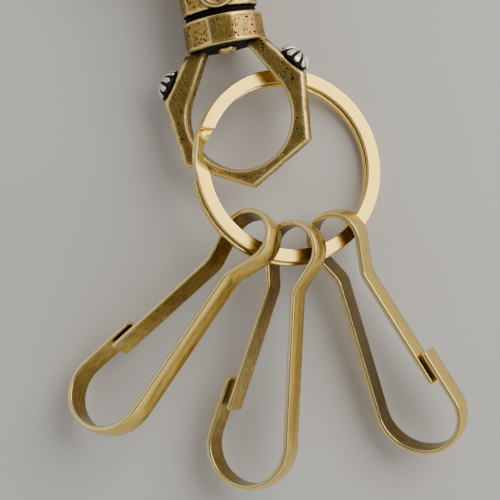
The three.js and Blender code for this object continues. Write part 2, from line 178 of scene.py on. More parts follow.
def link(name, mesh, material, smooth=True):
    """A new object for a finished mesh in the part's frame."""
    obj = bpy.data.objects.new(name, mesh)
    bpy.context.collection.objects.link(obj)
    mesh.materials.clear()
    mesh.materials.append(material)
    mesh.polygons.foreach_set("use_smooth", [smooth] * len(mesh.polygons))
    return obj


def mesh_from(name, vertices, faces):
    mesh = bpy.data.meshes.new(name)
    mesh.from_pydata([tuple(v) for v in vertices], [], [tuple(f) for f in faces])
    mesh.validate()
    return mesh


def face_outwards(mesh):
    work = bmesh.new()
    work.from_mesh(mesh)
    bmesh.ops.recalc_face_normals(work, faces=work.faces)
    work.to_mesh(mesh)
    work.free()
    return mesh


def join(name, meshes):
    """One mesh from several closed shells."""
    work = bmesh.new()
    for mesh in meshes:
        work.from_mesh(mesh)
    joined = bpy.data.meshes.new(name)
    work.to_mesh(joined)
    work.free()
    return joined


def prism(outline, low, high, bevel=0.0, steps=4):
    """A closed plate from one outline in XY, with its two rims rounded by an inset."""
    points = [Vector(p) for p in outline]
    rings = []
    for z, inset in rim_levels(low, high, bevel, steps):
        rings.append([(p.x, p.y, z) for p in inset_outline(points, inset)])
    return loft(rings)


def rim_levels(low, high, bevel, steps):
    """Heights and insets that round both rims of a plate."""
    levels = []
    for i in range(steps + 1 if bevel else 1):
        angle = (1 - i / steps) * math.pi / 2 if bevel else 0
        inset = bevel * (1 - math.cos(angle))
        levels.append((low + bevel * (1 - math.sin(angle)), inset))
    return levels + [(low + high - z, inset) for z, inset in reversed(levels)]


def inset_outline(points, inset):
    """An anticlockwise outline moved inwards along its corner normals."""
    moved = []
    count = len(points)
    for i, point in enumerate(points):
        before = (point - points[i - 1]).normalized()
        after = (points[(i + 1) % count] - point).normalized()
        normal = Vector((-(before.y + after.y), before.x + after.x)).normalized()
        reach = inset / max(0.5, normal.dot(Vector((-after.y, after.x))))
        moved.append(point + normal * reach)
    return moved


def loft(rings, closed=False):
    """Skins a list of equal rings, and caps the first and last unless closed on itself."""
    count = len(rings[0])
    vertices = [v for ring in rings for v in ring]
    faces = []
    spans = len(rings) if closed else len(rings) - 1
    for r in range(spans):
        s = (r + 1) % len(rings)
        for i in range(count):
            j = (i + 1) % count
            faces.append((r * count + i, r * count + j, s * count + j, s * count + i))
    if not closed:
        faces.append(tuple(reversed(range(count))))
        faces.append(tuple(range((len(rings) - 1) * count, len(rings) * count)))
    return face_outwards(mesh_from("loft", vertices, faces))


def turned(profile, sides, axis="y", shape=None):
    """A closed turned shape from (radius, height) pairs; shape(angle) scales its radius."""
    rings = []
    for radius, height in profile:
        ring = []
        for i in range(sides):
            angle = 2 * math.pi * i / sides
            reach = radius * (shape(angle) if shape else 1)
            across, up = reach * math.sin(angle), reach * math.cos(angle)
            ring.append((across, height, up) if axis == "y" else (across, up, height))
        rings.append(ring)
    return loft(rings)


def subtract(mesh, cutters):
    """The mesh with the cutters taken away."""
    body = bpy.data.objects.new("cut_body", mesh)
    bpy.context.collection.objects.link(body)
    helpers = []
    for cutter_mesh in cutters:
        cutter = bpy.data.objects.new("cutter", cutter_mesh)
        bpy.context.collection.objects.link(cutter)
        modifier = body.modifiers.new("cut", "BOOLEAN")
        modifier.operation = "DIFFERENCE"
        modifier.solver = "EXACT"
        modifier.object = cutter
        helpers.append(cutter)
    result = applied(body)
    for helper in helpers + [body]:
        bpy.data.objects.remove(helper)
    return result


def applied(obj):
    """The object's mesh with its modifiers applied, as a new mesh."""
    depsgraph = bpy.context.evaluated_depsgraph_get()
    depsgraph.update()
    return bpy.data.meshes.new_from_object(obj.evaluated_get(depsgraph))


def remeshed(mesh, voxel):
    """One even closed skin round all of a mesh's shells."""
    obj = bpy.data.objects.new("remesh", mesh)
    bpy.context.collection.objects.link(obj)
    modifier = obj.modifiers.new("remesh", "REMESH")
    modifier.mode = "VOXEL"
    modifier.voxel_size = voxel
    result = applied(obj)
    bpy.data.objects.remove(obj)
    return result


class Skin:
    """A mesh's vertices and edges as arrays, for smoothing and for shape attributes."""

    def __init__(self, mesh):
        self.mesh = mesh
        count = len(mesh.vertices)
        self.points = np.empty(count * 3)
        mesh.vertices.foreach_get("co", self.points)
        self.points = self.points.reshape(-1, 3)
        edges = np.empty(len(mesh.edges) * 2, int)
        mesh.edges.foreach_get("vertices", edges)
        self.edges = edges.reshape(-1, 2)
        self.valence = np.bincount(self.edges.ravel(), minlength=count).astype(float)

    def averaged(self, values):
        total = np.zeros_like(values)
        np.add.at(total, self.edges[:, 0], values[self.edges[:, 1]])
        np.add.at(total, self.edges[:, 1], values[self.edges[:, 0]])
        return total / (self.valence[:, None] if values.ndim == 2 else self.valence)

    def smoothed(self, values, rounds, share=0.5):
        for _ in range(rounds):
            values = values + share * (self.averaged(values) - values)
        return values

    def relax(self, rounds):
        """Smooths the surface and pushes it back, so that it rounds off without shrinking."""
        for _ in range(rounds):
            self.points = self.smoothed(self.points, 1, 0.5)
            self.points = self.smoothed(self.points, 1, -0.47)
        self.store()

    def normals(self):
        self.store()
        flat = np.empty(len(self.points) * 3)
        self.mesh.vertex_normals.foreach_get("vector", flat)
        return flat.reshape(-1, 3)

    def store(self):
        self.mesh.vertices.foreach_set("co", self.points.ravel())
        self.mesh.update()

    def mark_wear(self, rounds):
        """Writes how far each point stands out of its surroundings, from -1 to 1, as "wear"."""
        around = self.smoothed(self.points, rounds)
        height = np.einsum("ij,ij->i", self.points - around, self.normals())
        height = self.smoothed(height, 2)
        spread = np.percentile(np.abs(height), 96) + 1e-9
        values = np.clip(height / spread, -1, 1)
        write_values(self.mesh, "wear", values)

    def wave(self, seed, size, amount):
        """Moves the surface in and out by smooth noise of the given feature size."""
        normals = self.normals()
        shift = Vector((seed * 17.3, seed * 5.1, seed * 9.7))
        field = [noise.noise(Vector(p) / size + shift) for p in self.points]
        self.points = self.points + normals * (np.array(field) * amount)[:, None]
        self.store()


def smooth_between(value, low, high):
    share = min(1.0, max(0.0, (value - low) / (high - low)))
    return share * share * (3 - 2 * share)


def heal_ends(mesh, values, reach=4):
    """Copies values over a sweep's flush ends from a little further in."""
    if mesh.name not in FLUSH_ENDS:
        return values
    size, first, last = FLUSH_ENDS[mesh.name]
    rows = np.array(values).reshape(-1, size)
    if first:
        rows[:reach] = rows[reach]
    if last:
        rows[-reach:] = rows[-reach - 1]
    return rows.ravel()


def write_values(mesh, name, values):
    attribute = mesh.attributes.new(name, "FLOAT", "POINT")
    attribute.data.foreach_set("value", np.asarray(values, np.float32))


def write_vectors(mesh, name, vectors):
    attribute = mesh.attributes.new(name, "FLOAT_VECTOR", "POINT")
    attribute.data.foreach_set("vector", np.asarray(vectors, np.float32).ravel())


# ---- materials ----

class Nodes:
    """Short calls for building one material's node tree."""

    def __init__(self, name):
        self.material = bpy.data.materials.new(name)
        self.material.use_nodes = True
        self.tree = self.material.node_tree
        self.tree.nodes.clear()
        self.output = self.add("ShaderNodeOutputMaterial")
        self.shader = self.add("ShaderNodeBsdfPrincipled")
        self.wire(self.shader.outputs["BSDF"], self.output.inputs["Surface"])

    def add(self, kind, **settings):
        node = self.tree.nodes.new(kind)
        for key, value in settings.items():
            setattr(node, key, value)
        return node

    def wire(self, source, target):
        self.tree.links.new(source, target)

    def feed(self, socket, value):
        if isinstance(value, bpy.types.NodeSocket):
            self.wire(value, socket)
        else:
            socket.default_value = value

    def attribute(self, name, output="Fac"):
        return self.add("ShaderNodeAttribute", attribute_name=name).outputs[output]

    def place(self, scale=(1, 1, 1), source=None):
        """Object coordinates in millimetres, or another vector, scaled."""
        mapping = self.add("ShaderNodeMapping")
        if source is None:
            source = self.add("ShaderNodeTexCoord").outputs["Object"]
            scale = [s / MM for s in scale]
        self.wire(source, mapping.inputs["Vector"])
        mapping.inputs["Scale"].default_value = scale
        return mapping.outputs["Vector"]

    def noise(self, vector, size, detail=3.0, roughness=0.5, distortion=0.0):
        """Noise whose features are about size long, from 0 to 1."""
        node = self.add("ShaderNodeTexNoise")
        self.wire(vector, node.inputs["Vector"])
        node.inputs["Scale"].default_value = 1 / size
        node.inputs["Detail"].default_value = detail
        node.inputs["Roughness"].default_value = roughness
        node.inputs["Distortion"].default_value = distortion
        return node.outputs["Fac"]

    def cells(self, vector, size, randomness=1.0):
        """Distance to the nearest point of a scattered set."""
        node = self.add("ShaderNodeTexVoronoi")
        self.wire(vector, node.inputs["Vector"])
        node.inputs["Scale"].default_value = 1 / size
        node.inputs["Randomness"].default_value = randomness
        return node.outputs["Distance"]

    def ramp(self, value, low, high, from_value=0.0, to_value=1.0):
        """Maps value from low..high to from_value..to_value, held at both ends."""
        node = self.add("ShaderNodeMapRange", interpolation_type="SMOOTHSTEP")
        self.feed(node.inputs["Value"], value)
        node.inputs["From Min"].default_value = low
        node.inputs["From Max"].default_value = high
        node.inputs["To Min"].default_value = from_value
        node.inputs["To Max"].default_value = to_value
        return node.outputs["Result"]

    def math(self, operation, a, b=0.0, clamp=False):
        node = self.add("ShaderNodeMath", operation=operation, use_clamp=clamp)
        self.feed(node.inputs[0], a)
        self.feed(node.inputs[1], b)
        return node.outputs["Value"]

    def mix(self, share, first, second):
        node = self.add("ShaderNodeMix", data_type="RGBA")
        self.feed(node.inputs["Factor"], share)
        self.feed(node.inputs[6], first)
        self.feed(node.inputs[7], second)
        return node.outputs[2]

    def bump(self, height, distance, strength=1.0, under=None):
        """Surface relief; distance is in millimetres."""
        node = self.add("ShaderNodeBump")
        self.feed(node.inputs["Height"], height)
        node.inputs["Distance"].default_value = distance * MM
        node.inputs["Strength"].default_value = strength
        if under is not None:
            self.wire(under, node.inputs["Normal"])
        return node.outputs["Normal"]


def color(r, g, b):
    return (r, g, b, 1)


def antique_brass(name, dark=color(0.040, 0.024, 0.009), body=color(0.46, 0.300, 0.075),
                  bright=color(0.93, 0.70, 0.26), pits=0.5):
    """Cast brass: black patina in hollows and pits, olive faces, rubbed bright edges, and painted shade,
    dark brown to black, in crevices, on the sides and under the collar.
    """
    n = Nodes(name)
    place = n.place()
    wear = n.attribute("wear")
    # Painted shade in crevices, in gaps and on the sides.
    crevice_shade = n.attribute("crevice_shade")
    patches = n.noise(place, 2.2, 4, 0.6)
    grain = n.noise(place, 0.22, 4, 0.65)
    worn = n.math("ADD", wear, n.ramp(patches, 0.3, 0.7, -0.16, 0.16))
    worn = n.math("ADD", worn, n.ramp(grain, 0.3, 0.7, -0.10, 0.10))
    edge = n.ramp(worn, 0.22, 0.62)
    hollow = n.ramp(worn, -0.30, -0.85)

    # Casting pits: small long specks that crowd together in places, and a few larger ones.
    slim = n.place((1.5, 0.75, 1.5))
    slant = n.place((0.8, 1.35, 1.0))
    small = n.ramp(n.cells(slim, 0.50), 0.40, 0.27)
    other = n.ramp(n.cells(slant, 0.72), 0.34, 0.23)
    crowd = n.ramp(n.noise(place, 1.1, 3, 0.6), 1 - pits - 0.05, 1 - pits + 0.07)
    crowd_two = n.ramp(n.noise(n.place((0.9, 0.9, 1.1)), 1.6, 2), 0.46, 0.58)
    pit = n.math("MAXIMUM", n.math("MULTIPLY", small, crowd), n.math("MULTIPLY", other, crowd_two))
    pit = n.math("MULTIPLY", pit, n.ramp(edge, 0.0, 0.8, 1.0, 0.12))

    light_body = color(body[0] * 1.3, body[1] * 1.3, body[2] * 1.4)
    base = n.mix(n.ramp(patches, 0.35, 0.68), body, light_body)
    base = n.mix(n.ramp(grain, 0.40, 0.78, 0.0, 0.55), base, dark)
    base = n.mix(edge, base, bright)
    base = n.mix(n.math("MULTIPLY", hollow, 0.8), base, dark)
    blush = n.math("MULTIPLY", n.attribute("blush"), n.ramp(patches, 0.40, 0.60, 0.25, 0.8))
    base = n.mix(blush, base, color(0.80, 0.36, 0.19))
    # Painted shade and painted shadow under the collar: dark brown, then black, rough and less metallic.
    crevice_shade = n.math("MAXIMUM", crevice_shade, n.attribute("collar_shadow_and_patina"))
    shade_amount = n.math("ADD", crevice_shade, n.ramp(patches, 0.3, 0.7, -0.12, 0.12))
    base = n.mix(n.ramp(shade_amount, 0.26, 0.50, 0.0, 0.72), base, color(0.10, 0.052, 0.020))
    base = n.mix(n.ramp(shade_amount, 0.44, 0.66), base, color(0.010, 0.007, 0.004))
    base = n.mix(pit, base, color(0.012, 0.008, 0.004))
    n.feed(n.shader.inputs["Base Color"], base)
    n.feed(n.shader.inputs["Metallic"], n.ramp(shade_amount, 0.40, 0.66, 1.0, 0.2))
    n.shader.inputs["Specular IOR Level"].default_value = 0.1

    rough = n.math("ADD", n.ramp(grain, 0.2, 0.8, 0.33, 0.47), n.ramp(edge, 0, 1, 0.0, -0.12))
    rough = n.math("ADD", rough, n.math("MULTIPLY", pit, 0.35), clamp=True)
    rough = n.math("ADD", rough, n.ramp(shade_amount, 0.3, 0.6, 0.0, 0.3), clamp=True)
    n.feed(n.shader.inputs["Roughness"], rough)

    relief = n.bump(n.noise(place, 0.9, 3, 0.5), 0.035, 0.5)
    relief = n.bump(grain, 0.010, 0.6, relief)
    relief = n.bump(n.math("SUBTRACT", 1.0, pit), 0.05, 0.9, relief)
    n.wire(relief, n.shader.inputs["Normal"])
    return n.material


def satin_brass(name, body, tarnish=color(0.50, 0.29, 0.12), brushed=0.35, rough=0.27,
                tarnish_share=0.35, low_side_shade_share=0.0, crevice_shade_share=0.5):
    """Worked flat brass: fine lines along the metal, soft tarnish clouds, brighter corners, and painted
    shade on a strip's lower side and inner face and in gaps.
    """
    n = Nodes(name)
    along = n.attribute("run", "Vector")
    place = n.place()
    lines = n.noise(n.place((0.05, 1.0, 1.0), along), 0.055, 3, 0.6)
    broad = n.noise(n.place((0.10, 1.0, 1.0), along), 0.35, 2, 0.5)
    grain = n.noise(place, 0.10, 3, 0.6)
    clouds = n.noise(place, 3.4, 4, 0.62, 0.4)
    wear = n.attribute("wear")

    stain = n.ramp(clouds, 0.50, 0.74, 0.0, tarnish_share)
    stain = n.math("MULTIPLY", stain, n.ramp(grain, 0.25, 0.7, 0.55, 1.0))
    crevice_shade = n.math("ADD", n.attribute("crevice_shade"), n.ramp(grain, 0.3, 0.7, -0.06, 0.06))
    deep = color(body[0] * 0.66, body[1] * 0.60, body[2] * 0.48)
    base = n.mix(stain, body, tarnish)
    base = n.mix(n.ramp(lines, 0.35, 0.75, 0.0, 0.25), base, deep)
    # Painted shade: a strip's lower side and inner face go dark, with a mottled edge.
    low_side_shade = n.math("MULTIPLY", n.attribute("low_side_shade"), low_side_shade_share)
    mottle = n.noise(n.place((0.6, 1.0, 1.0), along), 0.7, 5, 0.7)
    low_side_shade = n.math("ADD", low_side_shade, n.ramp(mottle, 0.3, 0.7, -0.14, 0.14))
    base = n.mix(n.ramp(low_side_shade, 0.34, 1.0, 0.0, 0.85), base, color(0.22, 0.135, 0.028))
    base = n.mix(n.ramp(low_side_shade, 0.90, 1.25, 0.0, 0.7), base, color(0.105, 0.064, 0.015))
    # Painted shade in crevices and gaps.
    base = n.mix(n.ramp(crevice_shade, 0.30, 0.74, 0.0, crevice_shade_share), base, color(0.12, 0.062, 0.016))
    base = n.mix(n.ramp(wear, 0.2, 1.0, 0.0, 0.7), base, color(0.98, 0.80, 0.36))
    n.feed(n.shader.inputs["Base Color"], base)
    n.shader.inputs["Metallic"].default_value = 1.0

    streaks = n.ramp(broad, 0.3, 0.7, rough - 0.04, rough + 0.06)
    value = n.math("ADD", streaks, n.math("MULTIPLY", stain, 0.25))
    n.feed(n.shader.inputs["Roughness"], value)
    relief = n.bump(lines, 0.004, brushed)
    relief = n.bump(broad, 0.010, brushed * 0.6, relief)
    relief = n.bump(grain, 0.005, 0.35, relief)
    n.wire(relief, n.shader.inputs["Normal"])
    return n.material


def blackened_gap_shade_metal(name):
    # Near-black: the washer's blackening and painted shade in the swivel gap.
    n = Nodes(name)
    place = n.place()
    grain = n.noise(place, 0.15, 4, 0.6)
    base = n.mix(n.ramp(grain, 0.35, 0.75), color(0.003, 0.003, 0.003), color(0.010, 0.009, 0.007))
    n.feed(n.shader.inputs["Base Color"], base)
    n.shader.inputs["Metallic"].default_value = 0.0
    n.shader.inputs["Specular IOR Level"].default_value = 0.1
    n.feed(n.shader.inputs["Roughness"], n.ramp(grain, 0.2, 0.8, 0.65, 0.9))
    n.wire(n.bump(grain, 0.02, 0.5), n.shader.inputs["Normal"])
    return n.material


def stud_metal(name):
    """Pale ribs over black grooves: the mesh says how deep each point lies in a groove."""
    n = Nodes(name)
    place = n.place()
    groove = n.attribute("groove")
    grain = n.noise(place, 0.18, 3, 0.6)
    dark = n.ramp(n.math("ADD", groove, n.ramp(grain, 0.3, 0.7, -0.08, 0.08)), 0.30, 0.55)
    silver = n.mix(n.ramp(grain, 0.4, 0.75), color(0.95, 0.91, 0.80), color(0.74, 0.66, 0.50))
    n.feed(n.shader.inputs["Base Color"], n.mix(dark, silver, color(0.010, 0.008, 0.006)))
    n.feed(n.shader.inputs["Metallic"], n.ramp(dark, 0, 1, 1.0, 0.4))
    n.feed(n.shader.inputs["Roughness"], n.ramp(dark, 0, 1, 0.24, 0.7))
    n.wire(n.bump(grain, 0.015, 0.4), n.shader.inputs["Normal"])
    return n.material


def spring_steel(name):
    n = Nodes(name)
    along = n.attribute("run", "Vector")
    lines = n.noise(n.place((0.05, 1.0, 1.0), along), 0.05, 3, 0.6)
    n.feed(n.shader.inputs["Base Color"], n.mix(lines, color(0.42, 0.42, 0.43), color(0.62, 0.62, 0.62)))
    n.shader.inputs["Metallic"].default_value = 1.0
    n.feed(n.shader.inputs["Roughness"], n.ramp(lines, 0.2, 0.8, 0.22, 0.38))
    n.wire(n.bump(lines, 0.004, 0.4), n.shader.inputs["Normal"])
    return n.material


def pale_floor(name):
    n = Nodes(name)
    place = n.place()
    soft = n.noise(place, 60, 2)
    n.feed(n.shader.inputs["Base Color"], n.mix(soft, color(0.70, 0.69, 0.67), color(0.76, 0.75, 0.73)))
    n.shader.inputs["Roughness"].default_value = 0.75
    n.shader.inputs["Specular IOR Level"].default_value = 0.25
    return n.material


CAST = antique_brass("antique_brass")
CAST_PIN = antique_brass("pin_brass", body=color(0.72, 0.58, 0.33), pits=0.32)
RING_BRASS = satin_brass(
    "satin_ring_brass", color(0.94, 0.65, 0.12), rough=0.25, tarnish_share=0.10, crevice_shade_share=0.25,
)
STRIP_BRASS = satin_brass(
    "satin_strip_brass", color(0.95, 0.685, 0.17), rough=0.24, tarnish_share=0.35, low_side_shade_share=1.0,
)
STUD = stud_metal("silvered_stud")
BLACK_AND_GAP_SHADE = blackened_gap_shade_metal("blackened_washer")
STEEL = spring_steel("spring_steel")


# ---- castings ----

def arc(centre, radius, start, end, count):
    """Points on an arc; angles in degrees."""
    points = []
    for i in range(count + 1):
        angle = (start + (end - start) * i / count) * DEG
        points.append((centre[0] + radius * math.cos(angle), centre[1] + radius * math.sin(angle)))
    return points


def bezier(p0, p1, p2, p3, count):
    points = []
    for i in range(count + 1):
        t = i / count
        s = 1 - t
        points.append(tuple(
            s ** 3 * a + 3 * s * s * t * b + 3 * s * t * t * c + t ** 3 * d
            for a, b, c, d in zip(p0, p1, p2, p3)
        ))
    return points


def cast(name, mesh, frame_matrix, voxel, seed, material=CAST, relax=3, wave=0.05):
    """A casting's final skin: even, softly rounded, slightly uneven, with its wear marked."""
    skin_mesh = remeshed(mesh, voxel)
    skin = Skin(skin_mesh)
    skin.relax(relax)
    skin.wave(seed, 3.2, wave)
    skin.wave(seed + 1, 0.9, wave * 0.3)
    skin.mark_wear(int(0.45 / voxel * 4))
    skin_mesh.transform(to_part(frame_matrix))
    return link(name, skin_mesh, material)


def soft_facets(sides, turn, depth):
    """Radius factor of a barrel with soft flats filed on it."""
    def shape(angle):
        step = 2 * math.pi / sides
        local = (angle - turn * DEG) % step - step / 2
        return 1 - depth * (1 - math.cos(step / 2) / math.cos(local))
    return shape


def shackle_outline():
    shoulder_x, shoulder_y = SHACKLE_SHOULDER
    foot_x, foot_y = SHACKLE_FOOT
    return [
        (0, SHACKLE_TOE), (foot_x, foot_y), (shoulder_x, shoulder_y), (0, SHACKLE_APEX),
        (-shoulder_x, shoulder_y), (-foot_x, foot_y),
    ]


def shackle_hole(grow=0.0):
    """The hole: a circle whose top runs on as two straight flanks."""
    radius = HOLE_RADIUS + grow
    angle = FLANK_ANGLE * DEG
    top = -COLLAR_LENGTH / 2 + 0.3
    touch_x = radius * math.cos(angle)
    touch_y = HOLE_Y + radius * math.sin(angle)
    top_x = touch_x - (top - touch_y) * math.tan(angle)
    outline = arc((0, HOLE_Y), radius, 180 - FLANK_ANGLE, 360 + FLANK_ANGLE, 72)
    return outline + [(top_x, top), (-top_x, top)]


def shackle_piece():
    half = SHACKLE_DEPTH / 2
    plate = prism(shackle_outline(), -half, half, 0.72, 3)
    hole_rings = []
    for z, grow in ((-half - 1, 0.5), (-half, 0.40), (-half + 0.16, 0.14), (-half + 0.42, 0),
                    (half - 0.42, 0), (half - 0.16, 0.14), (half, 0.40), (half + 1, 0.5)):
        hole_rings.append([(x, y, z) for x, y in shackle_hole(grow)])
    above = prism([(-9, 0), (9, 0), (9, 12), (-9, 12)], -8, 8)
    arms = subtract(plate, [loft(hole_rings), above])

    # The collar: a barrel with ten soft flats.
    length = COLLAR_LENGTH / 2
    shape = soft_facets(10, 26, 0.72)
    rings = []
    profile = rounded_profile(COLLAR_RADIUS, -length, length, 0.4)
    profile[6:6] = [(COLLAR_RADIUS, -length + 0.9), (COLLAR_RADIUS, length - 0.9)]
    for radius, height in profile:
        share = smooth_between(length - abs(height), 0.0, 1.0)
        ring = []
        for i in range(120):
            angle = 2 * math.pi * i / 120
            reach = radius * (1 + (shape(angle) - 1) * (0.35 + 0.65 * share)) * 1.01
            ring.append((reach * math.sin(angle), height, reach * math.cos(angle)))
        rings.append(ring)
    collar = loft(rings)
    casting = cast("shackle_collar_cast", join("shackle", [arms, collar]), SHACKLE_FRAME, 0.13, 3)
    mark_under_collar(casting)
    return casting


def mark_under_collar(casting):
    """Writes painted shadow, black under the collar and fading down the arms as painted shade with some
    patina, and a coppery "blush".
    """
    inward = to_part(SHACKLE_FRAME).inverted()
    values = []
    blush = []
    for vertex in casting.data.vertices:
        point = inward @ vertex.co
        below = -COLLAR_LENGTH / 2 - point.y
        around = math.atan2(point.x, point.z) / DEG
        blush.append(math.exp(-((around - 59) / 7) ** 2) if below < 0.1 else 0.0)
        # Painted shadow: black on the collar's underside out to near its rim, then painted shade with some
        # patina fading down the arms.
        if below < -0.25:
            values.append(0.0)
        elif below < 0.12:
            out = math.hypot(point.x, point.z) / COLLAR_RADIUS
            values.append(1.0 - smooth_between(out, 0.88, 0.97))
        else:
            values.append(0.58 * (1 - smooth_between(below, 0.2, 2.4)))
    write_values(casting.data, "collar_shadow_and_patina", Skin(casting.data).smoothed(np.array(values), 2))
    write_values(casting.data, "blush", blush)


def rounded_profile(radius, low, high, rounding, steps=4):
    """(radius, height) pairs of a barrel with rounded rims, from near its axis to near its axis."""
    core = radius - rounding
    profile = [(NEAR_AXIS, low)]
    for i in range(steps + 1):
        angle = i / steps * math.pi / 2
        rise = low + rounding - rounding * math.cos(angle)
        profile.append((core + rounding * math.sin(angle), rise))
    for i in range(steps + 1):
        angle = i / steps * math.pi / 2
        rise = high - rounding + rounding * math.sin(angle)
        profile.append((core + rounding * math.cos(angle), rise))
    return profile + [(NEAR_AXIS, high)]


def loop_outline():
    outer = LOOP_HALF_WIDTH
    foot = STEM_RADIUS - 0.6
    base = LOOP_BASE
    right = bezier((foot, base), (foot + 1, base + 4), (outer, base + 3), (outer, LOOP_LOW), 16)
    top = arc((0, LOOP_HIGH), outer, 0, 180, 56)
    left = bezier((-outer, LOOP_LOW), (-outer, base + 3), (-foot - 1, base + 4), (-foot, base), 16)
    return right + top + left


def loop_hole(grow=0.0):
    inner = LOOP_HALF_WIDTH - LOOP_WALL + grow
    floor = LOOP_BASE + LOOP_WALL + 1.5 - grow
    low = bezier((-inner, LOOP_LOW), (-inner, floor + 0.6), (-inner / 2, floor), (0, floor), 14)
    high = bezier((0, floor), (inner / 2, floor), (inner, floor + 0.6), (inner, LOOP_LOW), 14)
    return low[:-1] + high + arc((0, LOOP_HIGH), inner, 0, 180, 48)


def box(x0, x1, y0, y1, z0, z1):
    return prism([(x0, y0), (x1, y0), (x1, y1), (x0, y1)], z0, z1)


def disc(x, y, radius, z0, z1, rounding=0.0, sides=40):
    outline = arc((x, y), radius, 0, 360, sides)[:-1]
    return prism(outline, z0, z1, rounding)


def boss_mesh():
    """A low round boss on the stem's front, worn round, with a shallow swirled dish in it."""
    top = STEM_RADIUS + BOSS_HEIGHT / 2 - 0.08
    sides = 72
    levels = (
        (1.0, STEM_RADIUS - 2), (1.0, top - 0.45), (0.93, top - 0.15), (0.82, top),
        (0.70, top - 0.10), (0.56, top - 0.32), (0.36, top - 0.42), (0.16, top - 0.40),
        (0.02, top - 0.38),
    )
    rings = []
    for share, height in levels:
        ring = []
        for i in range(sides):
            angle = 2 * math.pi * i / sides
            swirl = 0.10 * math.sin(angle + share * 7) if share < 0.8 else 0.0
            reach = BOSS_RADIUS * share * (1 + 0.03 * math.sin(2 * angle + 1))
            x, y = reach * math.cos(angle), BOSS_Y + reach * math.sin(angle)
            ring.append((x, y, height + swirl * share))
        rings.append(ring)
    return loft(rings)


def frame_piece():
    half = LOOP_DEPTH / 2
    rounding = 1.5
    plate = prism(loop_outline(), -half, half, rounding, 6)
    rings = []
    for z, inset in rim_levels(-half, half, rounding, 6):
        rings.append([(x, y, z) for x, y in loop_hole(inset)])
    first = [(x, y, -half - 1) for x, y in loop_hole(rounding)]
    last = [(x, y, half + 1) for x, y in loop_hole(rounding)]
    hole = loft([first] + rings + [last])
    gateway = box(WALL_X - LOOP_WALL, WALL_X + LOOP_WALL / 2 + 0.4, LOOP_LOW, LOOP_HIGH, -6, 6)
    loop = subtract(plate, [hole, gateway])

    stem_low = COLLAR_LENGTH / 2 + SWIVEL_GAP
    profile = rounded_profile(STEM_RADIUS, stem_low, stem_low + STEM_LENGTH, 0.4)[:6]
    profile += [
        (STEM_RADIUS, stem_low + STEM_LENGTH * 0.45),
        (STEM_WAIST + 0.15, stem_low + STEM_LENGTH * 0.66),
        (STEM_WAIST - 0.2, stem_low + STEM_LENGTH * 0.8),
        (STEM_WAIST - 1, stem_low + STEM_LENGTH),
        (NEAR_AXIS, stem_low + STEM_LENGTH),
    ]
    stem = turned(profile, 120, shape=soft_facets(10, 15, 0.8))
    boss = boss_mesh()
    lug = disc(WALL_X, LOOP_LOW, LOOP_WALL / 2, -half + 0.3, half - 0.3, 0.5)
    solid = join("frame", [loop, stem, boss, lug])
    solid = remeshed(solid, 0.2)
    slot = box(WALL_X - 4, WALL_X + LOOP_WALL / 2 + 1, LOOP_LOW - 3.5, LOOP_LOW + 4, -1.65, 1.65)
    recesses = [
        disc(WALL_X, LOOP_LOW, GATE_HEAD_RADIUS + 0.1, half - 0.6, half + 1),
        disc(WALL_X, LOOP_LOW, GATE_HEAD_RADIUS + 0.1, -half - 1, -half + 0.6),
    ]
    solid = subtract(solid, [slot] + recesses)
    tongue = box(WALL_X - 2.35, WALL_X + 0.3, LOOP_HIGH - 2.6, LOOP_HIGH + 1, -1.2, 1.2)
    return cast("carabiner_frame_cast", join("frame", [solid, tongue]), SWIVEL_FRAME, 0.17, 7)


def gate_piece():
    half = GATE_DEPTH / 2
    low = LOOP_LOW + LOOP_WALL / 2 + 0.35
    high = LOOP_HIGH - 0.35
    width = LOOP_WALL - 0.5
    left, right = WALL_X - width / 2, WALL_X + width / 2
    bar = prism([(left, low), (right, low), (right, high), (left, high)], -half, half, 0.9, 5)
    slot = box(left - 1, right - 1.3, high - 3, high + 1, -1.5, 1.5)
    grooves = []
    for i in range(-2, 3):
        y = (low + high) / 2 + i * 2.0
        grooves.append(disc(left - 0.25, y, 0.62, -half - 1, half + 1))
    bar = subtract(bar, [slot] + grooves)
    tongue = box(WALL_X - 2.2, WALL_X + 2.2, LOOP_LOW, low + 1, -1.45, 0.15)
    round_end = disc(WALL_X, LOOP_LOW, LOOP_WALL / 2 - 0.3, -1.45, 0.15)
    tongue_piece = subtract(join("tongue", [remeshed(join("t", [tongue, round_end]), 0.12)]),
                            [disc(WALL_X, LOOP_LOW, GATE_PIN_RADIUS + 0.1, -4, 4)])
    return cast("carabiner_gate_cast", join("gate", [bar, tongue_piece]), SWIVEL_FRAME, 0.13, 11)


# ---- pins, washer, studs and spring ----

def domed_head(radius, height, seat):
    """(radius, height) pairs of a dome that hangs below its seat, from its pole."""
    head = []
    for i in range(9):
        angle = i / 8 * math.pi / 2
        head.append((max(0.02, radius * math.sin(angle)), seat - height * math.cos(angle)))
    return head


def gate_pin_piece():
    crown = LOOP_DEPTH / 2 + 0.15
    seat = LOOP_DEPTH / 2 - 0.55
    head = domed_head(GATE_HEAD_RADIUS, 0.55, 0.55 - crown)
    lower = head + [(GATE_HEAD_RADIUS, -seat), (GATE_PIN_RADIUS, -seat)]
    profile = lower + [(radius, -height) for radius, height in reversed(lower)]
    mesh = turned(profile, 48, axis="z")
    mesh.transform(Matrix.Translation((WALL_X, LOOP_LOW, 0)))
    return cast("gate_pin_peened", mesh, SWIVEL_FRAME, 0.07, 13, CAST_PIN, 2, 0.04)


